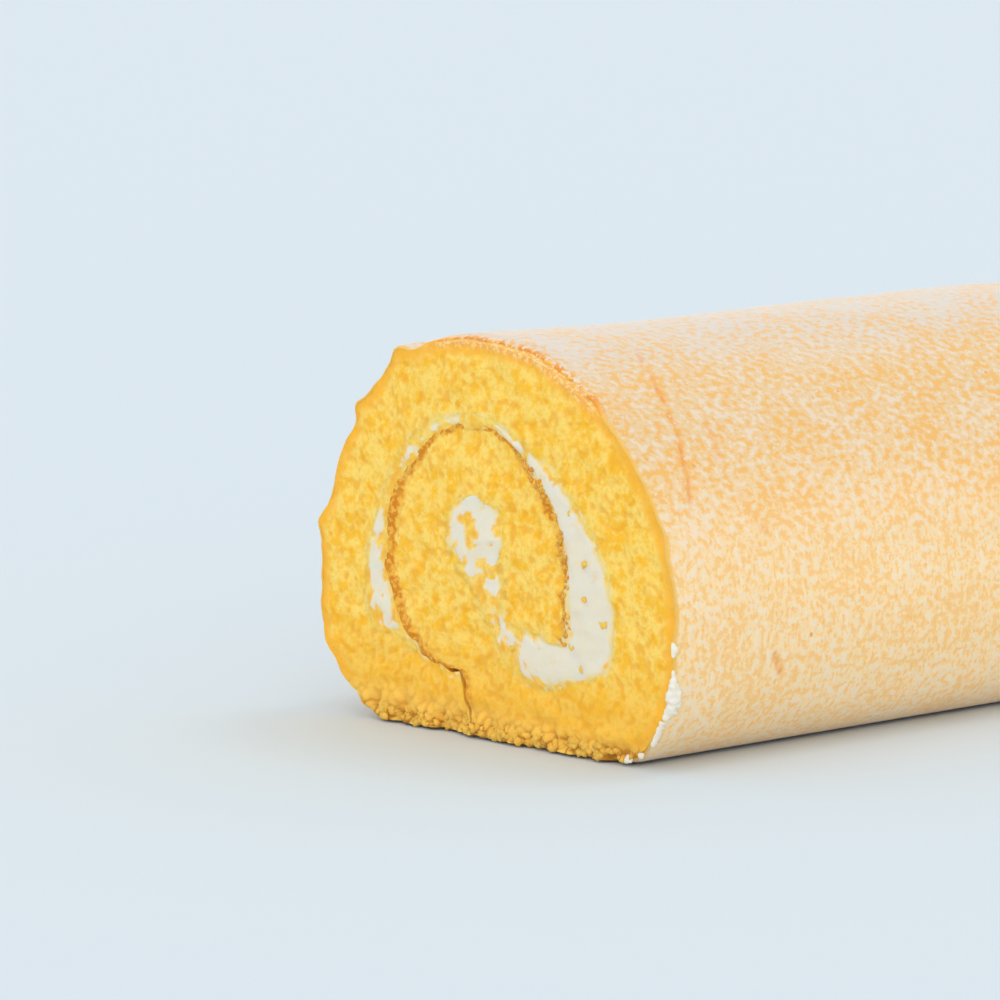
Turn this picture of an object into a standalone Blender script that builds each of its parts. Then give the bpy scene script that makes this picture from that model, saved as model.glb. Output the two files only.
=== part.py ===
"""A rolled sponge cake filled with cream, cut square at both ends and lying on its flattened underside.

One sheet of sponge is rolled round the cream for almost two turns, its browned skin outwards. There are two
pieces, and both run through the whole roll: the sponge sheet, and the cream spread over its inner side.
X runs across the roll, Y along it and Z up. The origin is on the table, under the middle of the roll.
"""

import math

import bmesh
import bpy
from mathutils import Matrix, Vector, noise

MM = 0.001

# The roll as it lies on the table
ROLL_LENGTH = 240 * MM
HALF_WIDTH = 47.4 * MM
TOP_HEIGHT = 75 * MM
WIDEST_HEIGHT = 26 * MM
SAG_DEPTH = 30 * MM  # from the widest height to the underside, before the table presses it flat
SAG_POWER = 3.0  # 2 is an ellipse, more is squarer
TOP_LEAN = -4.5 * MM  # the crown leans to the left of the middle
OUTLINE_STEP = 0.2  # degrees, to either side, for the outline's direction at a place

# The sheet's thickness in its outer wrap, at every 45 degrees from the right-hand side upwards and round
OUTER_WRAP_THICKNESS = [t * MM for t in (16.2, 17.8, 14.9, 13.8, 13.4, 21.0, 11.6, 16.8)]

# The inner roll, told by the distance of its browned skin from the roll's eye at the same angles
ROLL_EYE = Vector((-4.1, 33.2)) * MM
INNER_ROLL_RADIUS = [r * MM for r in (23.8, 23.0, 25.3, 24.6, 25.3, 24.6, 21.5, 26.8)]
TIP_ANGLE = -31  # degrees, where the sheet's inner end meets its skin
SEAM_ANGLE = 243  # degrees, where the inner roll's skin turns down into the seam
CREAM_END_ANGLE = 214  # degrees, where the cream round the inner roll runs out
CREAM_END_STEPS = 2  # how many of the solids' steps the cream ends before the sheet leaves it
TUCK_ANGLE = 224  # degrees, where the two wraps meet under the cream
TUCK_END_ANGLE = 238  # degrees, where they part again at the sheet's blunt outer end

# The cream's round heart, and the trail that leads from it down to the cream round the inner roll
HEART_CENTRE = Vector((-5.0, 37.6)) * MM
HEART_RADIUS = 6.6 * MM
HEART_LEFT = 232  # degrees, where the heart's left side opens into the trail
HEART_RIGHT = -28  # degrees, where its right side does
TRAIL_LEFT = [Vector((-5.4, 28.4)) * MM, Vector((-0.6, 20.0)) * MM, Vector((5.0, 13.6)) * MM]
TIP_CORNER = Vector((2.6, 22.6)) * MM  # where the sheet's inner end meets the trail

# The seam, where the sheet's outer end is tucked under the roll
SEAM_FOOT = Vector((-6.3, 0)) * MM
SEAM_TOP = Vector((-9.0, 12.0)) * MM
OUTER_END_CORNER = Vector((-10.6, 10.9)) * MM  # the upper corner of the sheet's blunt outer end
OUTER_END_TURN = 211  # degrees round the outline, where the sheet's outer end leaves the cream
UNDERSIDE_START = 10 * MM  # to the right of the middle, where the outer wrap's own thickness begins

GAP = 0.4 * MM  # between the sheet's wraps at the seam, and between the sheet and the cream
CORNER_LIMIT = 0.5  # at a sharp corner the gap grows to no more than its size over this

# The section's lines are drawn in short steps and their corners eased, and the solids then take longer steps
DRAWN_STEP = 0.5 * MM
EASING_PASSES = 16
SOLID_STEP = 6  # drawn steps in each of the solids' steps
SPONGE_LAYERS = 5  # cells across the sheet's thickness

# Where the solids have cross-sections, as shares of half the length from the middle
SECTIONS = [-1.0, -0.97, -0.6, 0.0, 0.6, 0.97, 1.0]

# Uneven shape: a slow swell and a finer one, and folds that run along the left-hand flank
SWELLS = [(38 * MM, 0.9 * MM), (12 * MM, 0.4 * MM)]  # (wavelength, height)
SWELL_STRETCH = 4.0  # the swells are this much longer along the roll than across it
SWELL_SEED = 1796052713  # places the swells; unseeded, they would change with each run
SETTLED_HEIGHT = 12 * MM  # below this the swells fade out towards the table
PRESSED_HEIGHT = 0.1 * MM  # what would lie lower than this is pressed flat on the table
# (degrees round the outline, height in mm, half-width in degrees); a dent has a height below zero
FLANK_FOLDS = [
    (109, 1.0, 4.0),
    (118.5, 3.4, 2.6),
    (124, 0.8, 4.0),
    (139.5, 2.4, 2.0),
    (144.5, -0.8, 1.8),
    (160, 0.9, 35.0),
    (169.8, 2.7, 3.4),
    (185, 1.5, 10.0),
    (193, 1.0, 5.0),
]

# The cut ends: the knife draws them in a little and tears crumb out, most of all along the foot
END_SHARE = 0.99  # the end sections' size beside those just behind them, which lifts their foot a hair
CRAG_LEVEL = -0.2  # the crumb is torn where the noise is above this
CRAG_SIZE = 4.5 * MM
CRAG_DEPTH = 0.9 * MM
FOOT_CRAG_SIZE = 3.2 * MM
FOOT_CRAG_DEPTH = 2.6 * MM
FOOT_HEIGHT = 9 * MM

SPONGE_COLOUR = (0.93, 0.60, 0.12, 1.0)
SPONGE_ROUGHNESS = 0.85
CREAM_COLOUR = (0.84, 0.80, 0.68, 1.0)
CREAM_ROUGHNESS = 0.5


def around(degrees):
    """The direction that many degrees up from the right-hand side."""
    return Vector((math.cos(math.radians(degrees)), math.sin(math.radians(degrees))))


def eased(values, degrees):
    """A value from a list with one entry every 45 degrees, passing smoothly from each to the next."""
    place = degrees / 45 % len(values)
    first = int(place)
    share = 0.5 - 0.5 * math.cos(math.pi * (place - first))
    return values[first] * (1 - share) + values[(first + 1) % len(values)] * share


def outline(degrees):
    """The roll's outline before the table presses its underside flat."""
    across, up = around(degrees)
    if up >= 0:
        rise = TOP_HEIGHT - WIDEST_HEIGHT
        return Vector((HALF_WIDTH * across + TOP_LEAN * up**4, WIDEST_HEIGHT + rise * up))
    power = 2 / SAG_POWER
    out = math.copysign(abs(across) ** power, across)
    return Vector((HALF_WIDTH * out, WIDEST_HEIGHT - SAG_DEPTH * abs(up) ** power))


def into_roll(degrees):
    """The direction from the outline straight into the roll."""
    along = outline(degrees + OUTLINE_STEP) - outline(degrees - OUTLINE_STEP)
    return Vector((-along.y, along.x)).normalized()


def outer_skin(degrees):
    fold = 0.0
    for place, height, width in FLANK_FOLDS:
        fold += height * MM * math.exp(-(((degrees % 360 - place) / width) ** 2))
    point = outline(degrees) - into_roll(degrees) * fold
    return Vector((point.x, max(0.0, point.y)))


def under_outer_wrap(degrees):
    point = outline(degrees)
    pressed = max(0.0, -point.y)
    return point + into_roll(degrees) * (eased(OUTER_WRAP_THICKNESS, degrees) + pressed)


def inner_skin(degrees):
    return ROLL_EYE + around(degrees) * eased(INNER_ROLL_RADIUS, degrees)


def over_inner_roll(degrees):
    return ROLL_EYE + around(degrees) * (eased(INNER_ROLL_RADIUS, degrees) + GAP)


def heart_edge(degrees):
    return HEART_CENTRE + around(degrees) * HEART_RADIUS


def underside_turn(x):
    """The place round the outline, in degrees, of a point x on its underside."""
    across = math.copysign(abs(x / HALF_WIDTH) ** (SAG_POWER / 2), x)
    return 360 - math.degrees(math.acos(across))


def sweep(point_at, start, end, steps=300):
    return [point_at(start + (end - start) * i / steps) for i in range(steps + 1)]


def length(line):
    return sum((b - a).length for a, b in zip(line, line[1:]))


def stepped(line, steps):
    """The same line in so many equal steps."""
    made = [line[0]]
    step = length(line) / steps
    walked = 0.0
    for a, b in zip(line, line[1:]):
        stride = (b - a).length
        while len(made) < steps and walked + stride >= step * len(made):
            made.append(a.lerp(b, (step * len(made) - walked) / stride))
        walked += stride
    return [*made, line[-1]]


def ease_corners(line):
    for _ in range(EASING_PASSES):
        line = [line[0], *((a + 2 * b + c) / 4 for a, b, c in zip(line, line[1:], line[2:])), line[-1]]
    return line


def paired(stretches):
    """Draws two lines point against point, stretch by stretch, and tells where each stretch ends."""
    first, second, ends = [], [], []
    for one, other in stretches:
        steps = round(max(length(one), length(other)) / DRAWN_STEP / SOLID_STEP)
        first += stepped(one, steps * SOLID_STEP)[bool(first):]
        second += stepped(other, steps * SOLID_STEP)[bool(second):]
        ends.append((len(first) - 1) // SOLID_STEP)
    return ease_corners(first)[::SOLID_STEP], ease_corners(second)[::SOLID_STEP], ends


def sheet_lines():
    """The rolled sheet's skin side and cream side, from its inner end to the seam."""
    start_turn = underside_turn(UNDERSIDE_START)
    end_turn = OUTER_END_TURN + 360
    seam_turn = underside_turn(SEAM_FOOT.x - GAP) + 360
    heart = sweep(heart_edge, HEART_RIGHT, HEART_LEFT)
    tucked = sweep(over_inner_roll, TUCK_ANGLE, TUCK_END_ANGLE)
    return paired(
        [
            # round the cream's heart, and along the trail
            (
                [*sweep(inner_skin, TIP_ANGLE, SEAM_ANGLE), SEAM_TOP],
                [TIP_CORNER, *heart, *TRAIL_LEFT],
            ),
            # down the seam and to the right along the table
            (
                [SEAM_TOP, SEAM_FOOT, Vector((UNDERSIDE_START, 0))],
                [TRAIL_LEFT[-1], under_outer_wrap(start_turn)],
            ),
            # the outer wrap
            (
                sweep(outer_skin, start_turn, end_turn),
                sweep(under_outer_wrap, start_turn, end_turn),
            ),
            # tucked under, to the seam
            (
                sweep(outer_skin, end_turn, seam_turn),
                [under_outer_wrap(end_turn), *tucked, OUTER_END_CORNER],
            ),
        ]
    )


def cream_outline(skin, inside, ends):
    """The space that the sheet leaves for the cream, less the gap all round."""
    outer_end = ends[2] - CREAM_END_STEPS
    cream_end = inner_skin(CREAM_END_ANGLE)
    inner_end = min(range(ends[0]), key=lambda i: (skin[i] - cream_end).length)
    space = [*inside[: outer_end + 1], *reversed(skin[: inner_end + 1])]
    made = []
    for before, here, after in zip([space[-1], *space], space, [*space[1:], space[0]]):
        into = [Vector((-along.y, along.x)).normalized() for along in (here - before, after - here)]
        corner = (into[0] + into[1]).normalized()
        made.append(here + corner * GAP / max(corner.dot(into[0]), CORNER_LIMIT))
    return made


def uneven(point):
    """Where the real roll has a point of the even one. The underside stays on the table."""
    x, y, z = point
    if z < PRESSED_HEIGHT:
        z = 0
    end = round(2 * y / ROLL_LENGTH, 4)
    if abs(end) == 1:
        y -= end * torn(x, z, end)
        x *= END_SHARE
        z += (WIDEST_HEIGHT - z) * (1 - END_SHARE)
    free = min(1.0, z / SETTLED_HEIGHT)
    place = Vector((x, y / SWELL_STRETCH, z))
    drift = sum((noise.noise_vector(place / wavelength) * height for wavelength, height in SWELLS), Vector())
    return Vector((x + drift.x * free, y, z + drift.z * free))


def torn(x, z, end):
    """How far the torn crumb stands back from the flat cut at either end."""
    place = Vector((x, end, z))
    crag = CRAG_DEPTH * max(0.0, noise.noise(place / CRAG_SIZE) - CRAG_LEVEL)
    low = max(0.0, 1 - z / FOOT_HEIGHT)
    return crag + FOOT_CRAG_DEPTH * low * max(0.0, noise.noise(place / FOOT_CRAG_SIZE) - CRAG_LEVEL)


def material(name, colour, roughness):
    made = bpy.data.materials.new(name)
    made.use_nodes = True
    shader = made.node_tree.nodes["Principled BSDF"]
    shader.inputs["Base Color"].default_value = colour
    shader.inputs["Roughness"].default_value = roughness
    shader.inputs["Metallic"].default_value = 0.0
    return made


def drawn_along(name, bm, finish):
    """Draws a flat section out along the roll into a solid, and makes it uneven."""
    bmesh.ops.translate(bm, verts=bm.verts, vec=(0, SECTIONS[0] * ROLL_LENGTH / 2, 0))
    faces = bm.faces[:]
    for here, there in zip(SECTIONS, SECTIONS[1:]):
        first = here == SECTIONS[0]
        grown = bmesh.ops.extrude_face_region(bm, geom=faces, use_keep_orig=first)["geom"]
        if not first:
            bmesh.ops.delete(bm, geom=faces, context="FACES")
        faces = [part for part in grown if isinstance(part, bmesh.types.BMFace)]
        moved = [part for part in grown if isinstance(part, bmesh.types.BMVert)]
        bmesh.ops.translate(bm, verts=moved, vec=(0, (there - here) * ROLL_LENGTH / 2, 0))
    for vertex in bm.verts:
        vertex.co = uneven(vertex.co)
    bmesh.ops.recalc_face_normals(bm, faces=bm.faces)
    if bm.calc_volume(signed=True) < 0:
        bmesh.ops.reverse_faces(bm, faces=bm.faces)

    mesh = bpy.data.meshes.new(name)
    bm.to_mesh(mesh)
    bm.free()
    mesh.materials.append(finish)
    made = bpy.data.objects.new(name, mesh)
    bpy.context.scene.collection.objects.link(made)
    return made


def make_sponge(skin, inside, finish):
    """A flat strip of square cells, rolled up so that its two sides follow the sheet's lines."""
    cells = len(skin) - 1
    bm = bmesh.new()
    bmesh.ops.create_grid(bm, x_segments=cells, y_segments=SPONGE_LAYERS, size=0.5)
    for vertex in bm.verts:
        at = round((vertex.co.x + 0.5) * cells)
        x, z = skin[at].lerp(inside[at], vertex.co.y + 0.5)
        vertex.co = (x, 0, z)
    return drawn_along("sponge", bm, finish)


def make_cream(outline, finish):
    bm = bmesh.new()
    bm.faces.new([bm.verts.new((x, 0, z)) for x, z in outline])
    return drawn_along("cream", bm, finish)


def centre(pieces, widest):
    """Moves the pieces together so that the widest one has its middle at x = 0."""
    reach = [vertex.co.x for vertex in widest.data.vertices]
    middle = (min(reach) + max(reach)) / 2
    for piece in pieces:
        piece.data.transform(Matrix.Translation((-middle, 0, 0)))


for thing in list(bpy.data.objects):
    bpy.data.objects.remove(thing)

noise.seed_set(SWELL_SEED)
skin_line, inside_line, stretch_ends = sheet_lines()
sponge = make_sponge(skin_line, inside_line, material("sponge", SPONGE_COLOUR, SPONGE_ROUGHNESS))
cream_edge = cream_outline(skin_line, inside_line, stretch_ends)
cream = make_cream(cream_edge, material("cream", CREAM_COLOUR, CREAM_ROUGHNESS))
centre([sponge, cream], sponge)
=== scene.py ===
import math
import random

import bmesh
import bpy
from mathutils import Matrix, Vector, noise


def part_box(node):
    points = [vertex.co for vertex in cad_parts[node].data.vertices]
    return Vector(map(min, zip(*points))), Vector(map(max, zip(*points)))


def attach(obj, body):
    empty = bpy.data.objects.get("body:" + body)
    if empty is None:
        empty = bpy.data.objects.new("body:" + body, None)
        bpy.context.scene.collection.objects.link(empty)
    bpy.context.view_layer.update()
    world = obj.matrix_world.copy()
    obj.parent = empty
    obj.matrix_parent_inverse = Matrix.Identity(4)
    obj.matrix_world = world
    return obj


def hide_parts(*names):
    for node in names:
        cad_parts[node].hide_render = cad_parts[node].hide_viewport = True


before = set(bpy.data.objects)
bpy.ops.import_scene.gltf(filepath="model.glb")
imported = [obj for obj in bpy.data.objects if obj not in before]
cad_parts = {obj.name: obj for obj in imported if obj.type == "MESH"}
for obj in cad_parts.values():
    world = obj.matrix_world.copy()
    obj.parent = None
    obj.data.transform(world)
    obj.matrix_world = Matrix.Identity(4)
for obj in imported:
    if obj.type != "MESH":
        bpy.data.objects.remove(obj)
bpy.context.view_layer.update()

mm = 0.001

# The rolled sheet
# Angles are in degrees, from the right-hand side upwards. Places are (across, up) on the cut end.
spongeLow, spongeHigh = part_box("sponge")
roll = {
    "length": spongeHigh.y - spongeLow.y,
    "halfWidth": 47.4 * mm,
    "topHeight": 75 * mm,
    "widestHeight": 26 * mm,
    "sagDepth": 30 * mm,
    "sagPower": 3.0,
    "topLean": -4.5 * mm,
    "wrapThickness": [16.2, 17.8, 14.9, 12.8, 11.5, 20.6, 11.6, 16.8],  # mm, every 45 degrees
    "eye": Vector((-4.1, 33.2)) * mm,
    "innerRadius": [23.8, 23.0, 25.9, 25.8, 26.6, 25.6, 21.5, 26.8],  # mm, every 45 degrees
    "tipAngle": -31,
    "seamAngle": 243,
    "tuckAngle": 224,
    "tuckEndAngle": 242,
    "creamEndAngle": 227,
    "heartCentre": Vector((-5.0, 37.6)) * mm,
    "heartRadius": 6.6 * mm,
    "heartLeft": 232,
    "heartRight": -28,
    "trailLeft": [Vector((-5.4, 28.4)) * mm, Vector((-0.6, 20.0)) * mm, Vector((5.0, 13.6)) * mm],
    "tipCorner": Vector((2.6, 22.6)) * mm,
    "seamFoot": Vector((-6.3, 0)) * mm,
    "seamTop": Vector((-9.0, 12.0)) * mm,
    "outerEndCorner": Vector((-9.9, 11.3)) * mm,
    "outerEndTurn": 211,
    "undersideStart": 10 * mm,
    # folds that run along the left-hand flank: (angle, height in mm, half-width in degrees)
    "folds": [
        (109, 0.5, 4.0), (118.5, 3.2, 2.6), (124, 0.8, 4.0), (139.5, 2.4, 2.0),
        (144.5, -0.8, 1.8), (160, 0.9, 35.0), (169.8, 2.7, 3.4), (185, 1.5, 10.0), (193, 1.0, 5.0),
    ],
    "foldsFade": 0.65,  # how much of a fold may be lost away from the ends
    "fadeBehind": (8 * mm, 60 * mm),  # the loss sets in this far from an end
    "fadePatch": (25, 70 * mm),  # (degrees, length) of the patches in which folds are lost
    "swells": [(38 * mm, 0.9 * mm), (12 * mm, 0.4 * mm)],  # (wavelength, height)
    # the top sinks behind each end: (how far behind it, half-width, depth)
    "dip": (40 * mm, 28 * mm, 0.7 * mm),
    "swellStretch": 4.0,
    "swellSeed": 1796052713,  # as in the solids, so that both swell alike
    "settledHeight": 12 * mm,
    "endShare": 0.99,  # the knife draws the ends in a little
    "endZone": 0.97,  # from here on, as a share of half the length
    "cornerEase": 1.41 * mm,  # how far the section's corners are rounded off
}
noise.seed_set(roll["swellSeed"])


def around(degrees):
    return Vector((math.cos(math.radians(degrees)), math.sin(math.radians(degrees))))


def everyEighth(values, degrees):
    # a value of a list that has one entry every 45 degrees, in metres
    place = degrees / 45 % len(values)
    first = int(place)
    share = 0.5 - 0.5 * math.cos(math.pi * (place - first))
    return (values[first] * (1 - share) + values[(first + 1) % len(values)] * share) * mm


def outline(degrees):
    across, up = around(degrees)
    if up >= 0:
        rise = roll["topHeight"] - roll["widestHeight"]
        leaning = roll["halfWidth"] * across + roll["topLean"] * up**4
        return Vector((leaning, roll["widestHeight"] + rise * up))
    power = 2 / roll["sagPower"]
    out = math.copysign(abs(across) ** power, across)
    return Vector((roll["halfWidth"] * out, roll["widestHeight"] - roll["sagDepth"] * abs(up) ** power))


def intoRoll(degrees):
    along = outline(degrees + 0.2) - outline(degrees - 0.2)
    return Vector((-along.y, along.x)).normalized()


def foldRise(degrees):
    # how far a fold draws the skin in there
    rise = 0.0
    for angle, height, width in roll["folds"]:
        rise += height * math.exp(-(((degrees % 360 - angle) / width) ** 2))
    return rise * mm


def outerSkin(degrees):
    point = outline(degrees) - intoRoll(degrees) * foldRise(degrees)
    return Vector((point.x, max(0.0, point.y)))


def underOuterWrap(degrees):
    point = outline(degrees)
    thickness = everyEighth(roll["wrapThickness"], degrees)
    return point + intoRoll(degrees) * (thickness + max(0.0, -point.y))


def innerSkin(degrees):
    return roll["eye"] + around(degrees) * everyEighth(roll["innerRadius"], degrees)


def undersideTurn(x):
    across = math.copysign(abs(x / roll["halfWidth"]) ** (roll["sagPower"] / 2), x)
    return 360 - math.degrees(math.acos(across))


def sweep(pointAt, start, end, steps=300):
    return [pointAt(start + (end - start) * i / steps) for i in range(steps + 1)]


def heartArc(start, end, grown=0.0):
    radius = roll["heartRadius"] + grown
    return sweep(lambda degrees: roll["heartCentre"] + around(degrees) * radius, start, end)


def lineLength(line):
    return sum((b - a).length for a, b in zip(line, line[1:]))


def evenSteps(line, steps):
    made = [line[0]]
    step = lineLength(line) / steps
    walked = 0.0
    for a, b in zip(line, line[1:]):
        stride = (b - a).length
        while len(made) < steps and walked + stride >= step * len(made):
            made.append(a.lerp(b, (step * len(made) - walked) / stride))
        walked += stride
    return [*made, line[-1]]


def pairedLines(stretches, step):
    # two lines point against point, with their corners eased, and the point at which each stretch ends
    first, second, ends = [], [], []
    for one, other in stretches:
        steps = round(max(lineLength(one), lineLength(other)) / step)
        first += evenSteps(one, steps)[bool(first):]
        second += evenSteps(other, steps)[bool(second):]
        ends.append(len(first) - 1)
    for _ in range(round(2 * (roll["cornerEase"] / step) ** 2)):
        for line in (first, second):
            line[1:-1] = [(a + 2 * b + c) / 4 for a, b, c in zip(line, line[1:], line[2:])]
    return first, second, ends


def sheetLines(step):
    # the sheet's skin side and its cream side, from the inner end to the seam
    startTurn = undersideTurn(roll["undersideStart"])
    endTurn = roll["outerEndTurn"] + 360
    seamTurn = undersideTurn(roll["seamFoot"].x) + 360
    tucked = sweep(innerSkin, roll["tuckAngle"], roll["tuckEndAngle"])
    trailEnd = roll["trailLeft"][-1]
    between = trailEnd.lerp(underOuterWrap(startTurn), 0.4)
    return pairedLines(
        [
            (
                [*sweep(innerSkin, roll["tipAngle"], roll["seamAngle"]), roll["seamTop"]],
                [roll["tipCorner"], *heartArc(roll["heartRight"], roll["heartLeft"]), *roll["trailLeft"]],
            ),
            ([roll["seamTop"], roll["seamFoot"]], [trailEnd, between]),
            ([roll["seamFoot"], Vector((roll["undersideStart"], 0))], [between, underOuterWrap(startTurn)]),
            (sweep(outerSkin, startTurn, endTurn), sweep(underOuterWrap, startTurn, endTurn)),
            (sweep(outerSkin, endTurn, seamTurn), [underOuterWrap(endTurn), *tucked, roll["outerEndCorner"]]),
        ],
        step,
    )


def foldLoss(x, y, up, behind):
    # how far the skin is drawn in at a place because its folds are weaker away from the ends
    across = (x - roll["topLean"] * up**4) / roll["halfWidth"]
    turn = math.degrees(math.atan2(up, across))
    wide, long = roll["fadePatch"]
    patch = noise.noise(Vector((turn / wide, y / long, 0)))
    lost = roll["foldsFade"] * smooth(behind, *roll["fadeBehind"]) * smooth(up, 0.0, 0.35)
    lost *= smooth(math.hypot(across, up), 0.8, 0.93) * smooth(patch, -0.45, 0.25)  # none inside the roll
    return intoRoll(turn) * foldRise(turn) * lost


def onRoll(x, y, z, torn=0.0):
    # where the uneven roll has a point of the even one, with the end torn back that far
    side = math.copysign(1, y)
    reach = abs(2 * y / roll["length"])
    near = max(0.0, reach - roll["endZone"]) / (1 - roll["endZone"])
    share = 1 - (1 - roll["endShare"]) * near
    x, y, z = x * share, y - side * torn, roll["widestHeight"] + (z - roll["widestHeight"]) * share
    behind = roll["length"] / 2 - abs(y)
    up = (z - roll["widestHeight"]) / (roll["topHeight"] - roll["widestHeight"])
    if up > 0:
        lost = foldLoss(x, y, up, behind)
        place, width, depth = roll["dip"]
        x, z = x + lost.x, z + lost.y - depth * up * math.exp(-(((behind - place) / width) ** 2))
    free = min(1.0, z / roll["settledHeight"])
    place = Vector((x, y / roll["swellStretch"], z))
    drift = Vector()
    for wavelength, height in roll["swells"]:
        drift += noise.noise_vector(place / wavelength) * height
    return Vector((x + drift.x * free, y, z + drift.z * free))


def smooth(value, low, high):
    share = min(1.0, max(0.0, (value - low) / (high - low)))
    return share * share * (3 - 2 * share)


def readOff(table, value):
    # a value between the entries of a table of (place, value), with straight lines from each to the next
    for (before, low), (after, high) in zip(table, table[1:]):
        if value <= after:
            return low + (high - low) * max(0.0, value - before) / (after - before)
    return table[-1][1]


# Making meshes
def meshFrom(bm, name):
    mesh = bpy.data.meshes.new(name)
    bm.to_mesh(mesh)
    bm.free()
    return mesh


def addObject(name, data):
    made = bpy.data.objects.new(name, data)
    bpy.context.scene.collection.objects.link(made)
    return made


def finishPiece(name, bm, material, attributes=None):
    bmesh.ops.recalc_face_normals(bm, faces=bm.faces)
    if bm.calc_volume(signed=True) < 0:
        bmesh.ops.reverse_faces(bm, faces=bm.faces)
    for face in bm.faces:
        face.smooth = True
    for vertex in bm.verts:
        vertex.co.z = max(0.0, vertex.co.z)  # nothing lies below the table
    bm.verts.index_update()
    kept = (attributes or {}).items()
    values = {key: [column.get(vertex, 0.0) for vertex in bm.verts] for key, column in kept}
    mesh = meshFrom(bm, name)
    for key, column in values.items():
        mesh.attributes.new(key, "FLOAT", "POINT").data.foreach_set("value", column)
    mesh.materials.append(material)
    piece = addObject(name, mesh)
    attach(piece, "root")
    return piece


def drawThrough(bm, sections):
    # draws a flat section at the front end through the whole roll, with rows of edges at the sections
    half = roll["length"] / 2
    grown = bmesh.ops.extrude_face_region(bm, geom=bm.faces[:], use_keep_orig=True)["geom"]
    moved = [v for v in grown if isinstance(v, bmesh.types.BMVert)]
    bmesh.ops.translate(bm, verts=moved, vec=(0, 2 * half, 0))
    for section in sections:
        geom = [*bm.verts, *bm.edges, *bm.faces]
        bmesh.ops.bisect_plane(bm, geom=geom, dist=1e-7, plane_co=(0, section * half, 0), plane_no=(0, 1, 0))
    bm.normal_update()
    for edge in bm.edges:  # the corners round the cut ends are crisp
        edge.smooth = len({abs(face.normal.y) > 0.5 for face in edge.link_faces}) == 1


# Nodes for materials
def seen(red, green, blue):
    # a colour as it is seen, 0 to 255, turned into the linear value that a shader takes
    return tuple(((c / 255 + 0.055) / 1.055) ** 2.4 for c in (red, green, blue)) + (1.0,)


def setInputs(tree, made, inputs):
    # an input takes a link from another node, or a plain value
    for key, value in inputs.items():
        if isinstance(value, bpy.types.NodeSocket):
            tree.links.new(value, made.inputs[key])
        else:
            made.inputs[key].default_value = value


def node(tree, kind, inputs=None, **settings):
    made = tree.nodes.new("ShaderNode" + kind)
    for key, value in settings.items():
        setattr(made, key, value)
    setInputs(tree, made, inputs or {})
    return made


def blendColours(tree, factor, a, b):
    return node(tree, "Mix", {0: factor, 6: a, 7: b}, data_type="RGBA").outputs[2]


def maths(tree, operation, a, b=0.0, clamp=False):
    return node(tree, "Math", {0: a, 1: b}, operation=operation, use_clamp=clamp).outputs[0]


def times(tree, a, b):
    return maths(tree, "MULTIPLY", a, b)


def rampOf(tree, value, low, high, start=0.0, end=1.0):
    inputs = {"Value": value, "From Min": low, "From Max": high, "To Min": start, "To Max": end}
    return node(tree, "MapRange", inputs, interpolation_type="SMOOTHSTEP").outputs["Result"]


def patternNoise(tree, vector, size, detail=2.0, roughness=0.5):
    inputs = {"Vector": vector, "Scale": 1 / size, "Detail": detail, "Roughness": roughness}
    return node(tree, "TexNoise", inputs).outputs["Fac"]


def attribute(tree, name):
    return node(tree, "Attribute", attribute_name=name).outputs["Fac"]


def newMaterial(name, roughness, subsurface, scatter, specular=0.3):
    made = bpy.data.materials.new(name)
    made.use_nodes = True
    shader = made.node_tree.nodes["Principled BSDF"]
    shader.inputs["Roughness"].default_value = roughness
    shader.inputs["Subsurface Weight"].default_value = subsurface
    shader.inputs["Subsurface Scale"].default_value = scatter
    shader.inputs["Subsurface Radius"].default_value = (1.0, 0.6, 0.25)
    shader.inputs["Specular IOR Level"].default_value = specular
    return made, made.node_tree, shader


def newGroup(name, floats, results):
    # a node group that takes a vector and floats, and gives floats
    group = bpy.data.node_groups.new(name, "ShaderNodeTree")
    group.interface.new_socket("Vector", in_out="INPUT", socket_type="NodeSocketVector")
    for socket in floats:
        group.interface.new_socket(socket, in_out="INPUT", socket_type="NodeSocketFloat")
    for socket in results:
        group.interface.new_socket(socket, in_out="OUTPUT", socket_type="NodeSocketFloat")
    given = group.nodes.new("NodeGroupInput").outputs
    return group, given, group.nodes.new("NodeGroupOutput").inputs


def makeCrumbPattern():
    # open sponge crumb: soft blotches, a fine grain and their height
    results = ("Blotch", "Grain", "Height")
    group, given, taken = newGroup("crumbPattern", ("Blotch Scale", "Grain Scale"), results)
    shared = {"Vector": given["Vector"], "Roughness": 0.6}
    blotch = node(group, "TexNoise", {**shared, "Scale": given["Blotch Scale"], "Detail": 3.0}).outputs["Fac"]
    grain = node(group, "TexNoise", {**shared, "Scale": given["Grain Scale"], "Detail": 2.0}).outputs["Fac"]
    group.links.new(rampOf(group, blotch, 0.4, 0.66), taken["Blotch"])
    group.links.new(rampOf(group, grain, 0.3, 0.7), taken["Grain"])
    height = maths(group, "ADD", times(group, blotch, 0.6), grain)
    group.links.new(height, taken["Height"])
    return group


def makeEdgeBand():
    # a band along an edge, told by the distance from it, with a wandering far side
    floats = ("Distance", "Full", "Gone", "Wander", "Wander Scale")
    group, given, taken = newGroup("edgeBand", floats, ("Band",))
    inputs = {"Vector": given["Vector"], "Scale": given["Wander Scale"], "Detail": 2.0}
    drift = maths(group, "SUBTRACT", node(group, "TexNoise", inputs).outputs["Fac"], 0.5)
    distance = maths(group, "ADD", given["Distance"], times(group, drift, given["Wander"]))
    group.links.new(rampOf(group, distance, given["Full"], given["Gone"], 1.0, 0.0), taken["Band"])
    return group


crumbPattern = makeCrumbPattern()
crumbScales = {"Blotch Scale": 1 / (2.2 * mm), "Grain Scale": 1 / (0.9 * mm)}
edgeBand = makeEdgeBand()


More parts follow.
